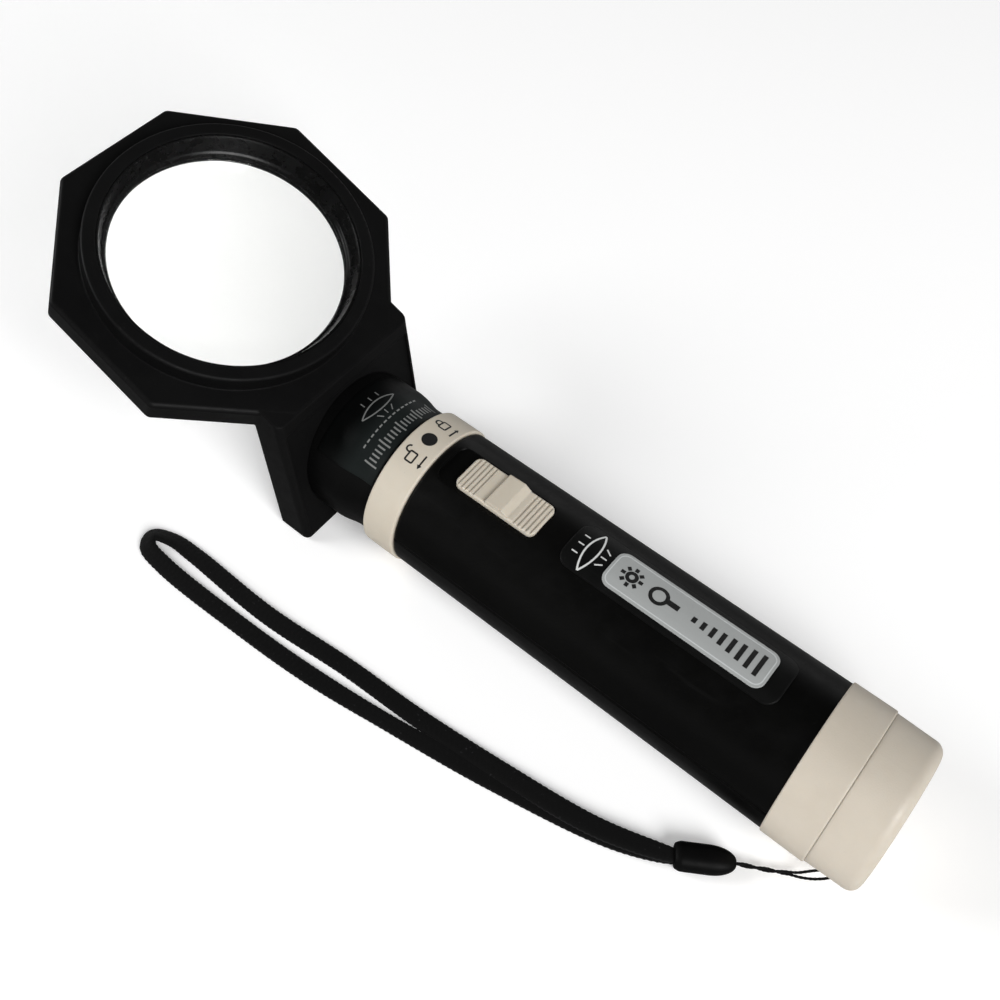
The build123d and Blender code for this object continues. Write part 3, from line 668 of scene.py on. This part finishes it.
def lens_section_sign(centre, tall, thick, width):
    """Generic sign for a lens seen edge on, tall round the tube, with three light rays that pass it."""
    x, arc = centre
    bow = (tall**2 / 4 + thick**2 / 4) / thick
    spread = math.degrees(math.asin(tall / 2 / bow))
    shapes = [
        stroke(arc_line((x - bow + thick / 2, arc), bow, -spread, spread, 30), width),
        stroke(arc_line((x + bow - thick / 2, arc), bow, 180 - spread, 180 + spread, 30), width),
    ]
    for lane in (-0.22, 0.0, 0.22):
        for side in (-1, 1):
            near = (x + side * thick * 0.75, arc + lane * tall)
            far = (x + side * thick * 1.25, arc + lane * tall * (1.0 if side < 0 else 0.6))
            shapes.append(stroke(straight(near, far, 4), width * 0.8))
    return shapes


def level_bars(start, pitch, count, low, high, width):
    """Row of bars that grow, the generic sign for a level."""
    shapes = []
    for bar in range(count):
        tall = low + (high - low) * bar / (count - 1)
        x = start[0] + pitch * bar
        shapes.append(stroke(straight((x, start[1] - tall / 2), (x, start[1] + tall / 2), 8), width))
    return shapes


def label_signs():
    """Lamp, magnifier and rising bars on the silver plate."""
    span = silver_high.x - silver_low.x
    bold = 0.72 * MM
    lamp_x, magnifier_x, bars_x = (silver_low.x + span * share for share in (0.135, 0.31, 0.53))
    shapes = light_sign((lamp_x, label_arc), 2.6 * MM, bold)
    shapes += magnifier_sign((magnifier_x, label_arc), 3.2 * MM, bold)
    shapes += level_bars((bars_x, label_arc), 1.9 * MM, 8, 1.2 * MM, 4.8 * MM, bold * 1.2)
    return shapes


emboss("label_signs", label_skin, label_signs(), INK_LOW, INK_HIGH, print_black, "handle")

panel_sign_x = (panel_low.x + silver_low.x) / 2 + 0.2 * MM
panel_shapes = lens_section_sign((panel_sign_x, label_arc), 9.8 * MM, 2.5 * MM, 0.36 * MM)
emboss("panel_sign", Skin("dark_panel"), panel_shapes, INK_LOW, INK_HIGH, print_white, "handle")


def nose_marks():
    """Scale of fine lines round the nose next to the ring, a row of dashes and a lens sign beyond it."""
    shapes = []
    scale_x = nose_label_high.x - 2.4 * MM
    tick_pitch = 0.98 * MM
    for tick in range(-10, 11):
        tall = 1.45 * MM if tick % 5 == 0 else 0.9 * MM
        arc = tick * tick_pitch
        shapes.append(stroke(straight((scale_x - tall, arc), (scale_x + tall, arc), 5), 0.36 * MM))
    dash_x = scale_x - 2.9 * MM
    dash_pitch = 1.3 * MM
    dash_half = 0.4 * MM
    for dash in range(-6, 7):
        arc = dash * dash_pitch
        shapes.append(stroke(straight((dash_x, arc - dash_half), (dash_x, arc + dash_half), 3), 0.3 * MM))
    shapes += lens_section_sign((dash_x - 3.6 * MM, 0.6 * MM), 9.6 * MM, 2.2 * MM, 0.28 * MM)
    return shapes


emboss("nose_marks", Skin("nose_label"), nose_marks(), INK_LOW, INK_HIGH, print_grey, "handle")


# ---------------------------------------------------------------- strap, ferrule and cord
KNOT_STEPS = 40
SHORTEST_KNOT = 1e-9


def smooth_line(points, spacing):
    """Centripetal Catmull-Rom line through the points, resampled at even spacing.

    The first three columns are the place and set the spacing; any others follow along.
    """
    points = np.array(points, float)
    ends = np.vstack([2 * points[0] - points[1], points, 2 * points[-1] - points[-2]])
    fine = []
    for index in range(1, len(ends) - 2):
        p0, p1, p2, p3 = ends[index - 1 : index + 3]
        t0 = 0.0
        t1 = t0 + max(np.linalg.norm((p1 - p0)[:3]), SHORTEST_KNOT) ** 0.5
        t2 = t1 + max(np.linalg.norm((p2 - p1)[:3]), SHORTEST_KNOT) ** 0.5
        t3 = t2 + max(np.linalg.norm((p3 - p2)[:3]), SHORTEST_KNOT) ** 0.5
        t = np.linspace(t1, t2, KNOT_STEPS, endpoint=False)[:, None]
        a1 = (t1 - t) / (t1 - t0) * p0 + (t - t0) / (t1 - t0) * p1
        a2 = (t2 - t) / (t2 - t1) * p1 + (t - t1) / (t2 - t1) * p2
        a3 = (t3 - t) / (t3 - t2) * p2 + (t - t2) / (t3 - t2) * p3
        b1 = (t2 - t) / (t2 - t0) * a1 + (t - t0) / (t2 - t0) * a2
        b2 = (t3 - t) / (t3 - t1) * a2 + (t - t1) / (t3 - t1) * a3
        fine.append((t2 - t) / (t2 - t1) * b1 + (t - t1) / (t2 - t1) * b2)
    fine = np.vstack(fine + [points[-1:]])
    length = np.concatenate([[0], np.cumsum(np.linalg.norm(np.diff(fine[:, :3], axis=0), axis=1))])
    count = max(2, int(length[-1] / spacing))
    where = np.linspace(0, length[-1], count)
    columns = [np.interp(where, length, column) for column in fine.T]
    return where, np.column_stack(columns)


def tube_mesh(name, rings, material):
    """Skins a list of rings of points into one tube with closed ends."""
    count, sides = len(rings), len(rings[0])
    points = [tuple(point) for ring in rings for point in ring]
    faces = []
    for ring in range(count - 1):
        for side in range(sides):
            after = (side + 1) % sides
            here, ahead = ring * sides, (ring + 1) * sides
            faces.append([here + side, here + after, ahead + after, ahead + side])
    for ring, flip in ((0, True), (count - 1, False)):
        middle = np.mean(np.array(rings[ring]), axis=0)
        points.append(tuple(middle))
        hub = len(points) - 1
        for side in range(sides):
            one, two = ring * sides + side, ring * sides + (side + 1) % sides
            faces.append([hub, two, one] if flip else [hub, one, two])
    return solid_mesh(name, points, faces, material)


ferrule_low, ferrule_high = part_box("strap_ferrule")
ferrule_middle = (ferrule_low + ferrule_high) / 2
ferrule_way = (bend_pivot - ferrule_middle).to_2d().normalized()
ferrule_way = Vector((ferrule_way.x, ferrule_way.y, 0))
ferrule_side = ferrule_way.cross(Vector((0, 0, 1)))
ferrule_middle += ferrule_side * 0.3 * MM
ferrule_length = 10.9 * MM
ferrule_half_width = 2.5 * MM
ferrule_half_height = (ferrule_high.z - ferrule_low.z) / 2
ferrule_mouth = ferrule_middle + ferrule_way * ferrule_length / 2
ferrule_tip = ferrule_middle - ferrule_way * ferrule_length / 2


def ferrule_shape(share):
    """Width and height of the ferrule as a share of the largest, from its mouth (0) to its tip (1)."""
    mouth_size = 0.76
    lip_end = 0.1
    dome_start = 0.56
    tip_size = 0.12
    if share < dome_start:
        return mouth_size + (1 - mouth_size) * min(1.0, share / lip_end) ** 0.5
    rise = (share - dome_start) / (1 - dome_start)
    return tip_size + (1 - tip_size) * math.sqrt(max(0.0, 1 - rise**2))


def squared(part, power):
    """Sine or cosine pushed outwards by a power below 1, which makes a round section boxier."""
    return math.copysign(abs(part) ** power, part)


def bump_at(distance, width):
    """1 at the middle of a narrow ridge or groove, and falls to 0 about two widths away."""
    return math.exp(-((distance / width) ** 2))


def build_ferrule():
    """Moulded bullet that joins strap and cord: oval, with a lip at the mouth and a parting line."""
    rings = []
    steps, sides = 72, 48
    for step in range(steps + 1):
        share = 0.5 - 0.5 * math.cos(math.pi * step / steps)
        scale = ferrule_shape(share)
        middle = ferrule_mouth - ferrule_way * ferrule_length * share
        ring = []
        for side in range(sides):
            turn = math.tau * side / sides
            across, up = math.cos(turn), math.sin(turn)
            wide = squared(across, 0.72) * ferrule_half_width * scale
            tall = squared(up, 0.78) * ferrule_half_height * scale
            parting = 1 + 0.02 * bump_at(up, 0.07)
            ring.append(middle + ferrule_side * wide * parting + Vector((0, 0, tall)))
        rings.append(ring)
    piece = tube_mesh("strap_ferrule_moulded", rings, materials["ferrule_black"])
    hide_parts("strap_ferrule")
    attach(piece, "cord")


build_ferrule()

STRAP_HALF_WIDTH = 1.86 * MM
STRAP_HALF_THICKNESS = 0.72 * MM
BRAID_PITCH = 1.15 * MM
BRAID_DEPTH = 0.07 * MM
SPINE_DEPTH = 0.05 * MM
EDGE_WAVE = 0.05 * MM
STRAP_STEP = 0.19 * MM

# Stations of the loop, out from the bend at the ferrule along one branch and back along the other: along,
# across and lift in millimetres, tilt in degrees, and the share of the full width.
loop_stations = [
    (3, 2, 2.5, 0, 0.55),
    (0, 0.5, 2.5, 0, 0.8),
    (-12, -3.5, 2.25, 0, 1),
    (-32, -6.25, 1.5, -4, 1),
    (-50, -8, 1, 3, 1),
    (-67, -9, 1, 5, 1),
    (-87, -11, 1, -6, 1),
    (-108, -11, 1.25, 12, 1),
    (-114, -11.5, 1.5, 24, 1),
    (-118, -13.5, 1.75, 34, 1.1),
    (-117, -15.75, 1.5, 28, 1),
    (-111, -16.75, 1.25, 14, 1),
    (-90, -16.25, 1, -3, 1),
    (-72, -15, 1, -5, 1),
    (-54, -12.5, 1, 6, 0.85),
    (-32, -8.5, 1, -2, 1),
    (-9, -3, 1, 0, 1),
    (0, 0.5, 1.5, 0, 0.8),
    (3, 2, 1.75, 0, 0.55),
]


def strap_section(centre, flat, up, half_width, distance, sides=44):
    """One ring of points round the braid: herringbone relief, a groove down the middle, wavy edges."""
    ring = []
    for side in range(sides):
        angle = math.tau * side / sides
        across, rise = math.cos(angle), math.sin(angle)
        wide = squared(across, 0.75)
        tall = squared(rise, 0.6)
        chevron = distance / BRAID_PITCH + 1.1 * abs(wide) * (1 if rise > 0 else -1)
        column = math.sin(math.tau * abs(wide))
        relief = BRAID_DEPTH * (abs(math.sin(math.pi * chevron)) - 0.6) * (0.75 + 0.25 * column)
        groove = -SPINE_DEPTH * bump_at(wide, 0.07)
        wave = math.sin(math.tau * distance / BRAID_PITCH + (0 if across > 0 else math.pi))
        half = half_width + EDGE_WAVE * wave * abs(across) ** 3
        thick = STRAP_HALF_THICKNESS + (relief + groove) * abs(rise) ** 0.5
        ring.append(centre + flat * wide * half + up * tall * thick)
    return ring


def build_strap():
    """Flat braid in one loop from the ferrule and back, tilted on edge at the far bend."""
    rows = []
    for along, across, lift, tilt, share in loop_stations:
        spot = (bend_pivot.x + along * MM, bend_pivot.y + across * MM, rest_z + lift * MM)
        rows.append((*spot, math.radians(tilt), share))
    where, line = smooth_line(rows, STRAP_STEP)
    tangents = np.gradient(line[:, :3], axis=0)
    rings = []
    for distance, tangent, (x, y, z, tilt, share) in zip(where, tangents, line):
        along = Vector(tangent).normalized()
        flat = along.cross(Vector((0, 0, 1))).normalized()
        up = flat.cross(along).normalized()
        turn = Matrix.Rotation(tilt, 3, along)
        rings.append(
            strap_section(Vector((x, y, z)), turn @ flat, turn @ up, STRAP_HALF_WIDTH * share, distance)
        )
    piece = tube_mesh("wrist_strap_braid", rings, materials["strap_black"])
    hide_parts("wrist_strap")
    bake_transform(piece)


build_strap()

CORD_RADIUS = 0.24 * MM
LAY_LENGTH = 0.8 * MM
COIL_RADIUS = 0.2 * MM
COIL_TURNS = 1.4
COIL_STEPS = 12
hole_out = Vector((0, anchor.y, anchor.z)).normalized()
hole_mouth = Vector((anchor.x, 0, 0)) + hole_out * cap_radius
cord_start = hole_mouth - hole_out * 2.6 * MM
cord_leave = hole_mouth + hole_out * 0.3 * MM
cord_along = ferrule_tip - anchor
cord_side = Vector((cord_along.y, -cord_along.x, 0)).normalized()

# Each strand near the cap: share of the way to the ferrule, then side offset and lift in millimetres.
upper_stations = [(0.10, 0.85, 0.5), (0.22, 0.6, -0.1), (0.34, 0.25, -0.7)]
lower_stations = [(0.05, -0.3, 0.2), (0.18, -0.55, -0.5), (0.32, -0.45, -0.95)]


def strand_stations(bends, shift, phase):
    """Points along one strand: out of the cap, apart from its twin, then wound round it to the ferrule."""
    stations = [cord_start + cord_side * shift, cord_leave + cord_side * shift]
    for share, offset, lift in bends:
        bend = cord_side * offset * MM + Vector((0, 0, lift * MM))
        stations.append(anchor + cord_along * share + bend)
    for step in range(COIL_STEPS + 1):
        share = 0.44 + 0.6 * step / COIL_STEPS
        turn = phase + math.tau * COIL_TURNS * step / COIL_STEPS
        coil = (cord_side * math.cos(turn) + Vector((0, 0, math.sin(turn)))) * COIL_RADIUS
        sag = Vector((0, 0, -1.0 * MM * math.sin(math.pi * min(share, 1.0))))
        stations.append(anchor + cord_along * share + coil + sag)
    return [tuple(point) for point in stations]


def strand_section(centre, way, distance, sides=14):
    """One ring of points round a strand, with the relief of its two-way lay."""
    side_way = way.cross(Vector((0.3, 0.2, 1))).normalized()
    up_way = side_way.cross(way)
    ring = []
    for side in range(sides):
        angle = math.tau * side / sides
        slip = math.tau * distance / LAY_LENGTH
        lay = math.sin(2 * angle + slip) + math.sin(2 * angle - slip)
        reach = CORD_RADIUS * (1 + 0.06 * lay)
        ring.append(centre + (side_way * math.cos(angle) + up_way * math.sin(angle)) * reach)
    return ring


def build_cord():
    """Two thin strands from inside the cap that twist together before they enter the ferrule's tip."""
    for name, bends, shift, phase in (
        ("cord_strand_upper", upper_stations, 0.45 * MM, 0.0),
        ("cord_strand_lower", lower_stations, -0.3 * MM, math.pi),
    ):
        where, line = smooth_line(strand_stations(bends, shift, phase), 0.1 * MM)
        tangents = np.gradient(line, axis=0)
        rings = [
            strand_section(Vector(point), Vector(tangent).normalized(), distance)
            for distance, tangent, point in zip(where, tangents, line)
        ]
        piece = tube_mesh(name, rings, materials["cord_black"])
        if name == "cord_strand_upper":
            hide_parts("cord_loop", "cord_knot")
        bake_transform(piece)


build_cord()

# ---------------------------------------------------------------- table, light and camera
object_low, object_high = cad_bounds
centre = (object_low + object_high) / 2


def build_floor():
    """Pale plain table that runs out of view."""
    half = 3.0
    corners = [(x, y, rest_z) for x, y in ((-half, -half), (half, -half), (half, half), (-half, half))]
    tree = Tree("table_paper")
    tooth = tree.noise(0.0008, detail=3)
    tree.finish(
        Base_Color=rgb(0.93, 0.93, 0.93),
        Emission_Color=rgb(1, 1, 1),
        Emission_Strength=0.19,
        Roughness=0.75,
        Specular_IOR_Level=0.2,
        Normal=tree.bump(tooth, 0.03, 0.0001),
    )
    # Mirrored in the black plastics the table looks darker, as over a card laid under the object.
    path = tree.tree.nodes.new("ShaderNodeLightPath")
    card = tree.tree.nodes.new("ShaderNodeBsdfDiffuse")
    card.inputs["Color"].default_value = rgb(0.2, 0.2, 0.2)
    glossy, through = path.outputs["Is Glossy Ray"], path.outputs["Is Transmission Ray"]
    mirrored = tree.math("SUBTRACT", glossy, through, clamp=True)
    blend = tree.tree.nodes.new("ShaderNodeMixShader")
    tree.tree.links.new(mirrored, blend.inputs[0])
    tree.tree.links.new(tree.surface.outputs[0], blend.inputs[1])
    tree.tree.links.new(card.outputs[0], blend.inputs[2])
    tree.tree.links.new(blend.outputs[0], tree.output.inputs["Surface"])
    solid_mesh("table", corners, [[0, 1, 2, 3]], tree.material, smooth=False)


def soft_light(name, place, size, power, aim):
    """Round soft box at place, turned towards aim."""
    lamp = bpy.data.lights.new(name, "AREA")
    lamp.shape = "DISK"
    lamp.size = size
    lamp.energy = power
    holder = bpy.data.objects.new(name, lamp)
    bpy.context.scene.collection.objects.link(holder)
    holder.location = place
    holder.rotation_mode = "QUATERNION"
    holder.rotation_quaternion = (Vector(aim) - Vector(place)).to_track_quat("-Z", "Y")


def build_world():
    """White surround at the horizon that falls off towards a darker ceiling, brighter on the far side."""
    horizon, ceiling, ceiling_height = 0.9, 0.06, 0.55
    near_share, far_share = 0.75, 1.3
    world = bpy.data.worlds.new("studio")
    bpy.context.scene.world = world
    world.use_nodes = True
    tree = world.node_tree
    sky = tree.nodes["Background"]
    place = tree.nodes.new("ShaderNodeTexCoord")
    split = tree.nodes.new("ShaderNodeSeparateXYZ")
    fall = tree.nodes.new("ShaderNodeMapRange")
    lean = tree.nodes.new("ShaderNodeMapRange")
    share = tree.nodes.new("ShaderNodeMath")
    share.operation = "MULTIPLY"
    for spread, values in (
        (fall, (0.0, ceiling_height, horizon, ceiling)),
        (lean, (-1.0, 1.0, near_share, far_share)),
    ):
        for socket, value in zip(list(spread.inputs)[1:5], values):
            socket.default_value = value
    tree.links.new(place.outputs["Generated"], split.inputs[0])
    tree.links.new(split.outputs[2], fall.inputs[0])
    tree.links.new(split.outputs[1], lean.inputs[0])
    tree.links.new(fall.outputs[0], share.inputs[0])
    tree.links.new(lean.outputs[0], share.inputs[1])
    tree.links.new(share.outputs[0], sky.inputs["Strength"])
    sky.inputs["Color"].default_value = rgb(1, 1, 1)


CAMERA_PLACE = Vector((-10.65, -116.18, 219.28)) * MM
CAMERA_LOOK = Vector((-0.41530, 0.50797, -0.75465))
CAMERA_ROLL = math.radians(-1.083)
SENSOR_WIDTH = 36.0
FOCAL_LENGTH = 46.63
FRAME_SHIFT = (0.0711, -0.1645)


def build_camera():
    """Camera above the near side of the handle, looking down at the head, with its frame shifted."""
    camera = bpy.data.cameras.new("camera")
    camera.sensor_width = SENSOR_WIDTH
    camera.lens = FOCAL_LENGTH
    camera.shift_x, camera.shift_y = FRAME_SHIFT
    camera.clip_start = 0.01
    camera.clip_end = 10.0
    holder = bpy.data.objects.new("camera", camera)
    bpy.context.scene.collection.objects.link(holder)
    level = CAMERA_LOOK.to_track_quat("-Z", "Y").to_matrix()
    rolled = Matrix.Rotation(CAMERA_ROLL, 3, CAMERA_LOOK) @ level
    holder.matrix_world = Matrix.Translation(CAMERA_PLACE) @ rolled.to_4x4()
    bpy.context.scene.camera = holder


build_floor()
build_world()
soft_light("key", centre + Vector((1.15, -0.50, 0.95)), size=0.85, power=23.0, aim=centre)
soft_light("fill", centre + Vector((-1.30, -0.75, 0.80)), size=0.9, power=16.0, aim=centre)
build_camera()
bpy.context.scene.view_settings.view_transform = "Standard"
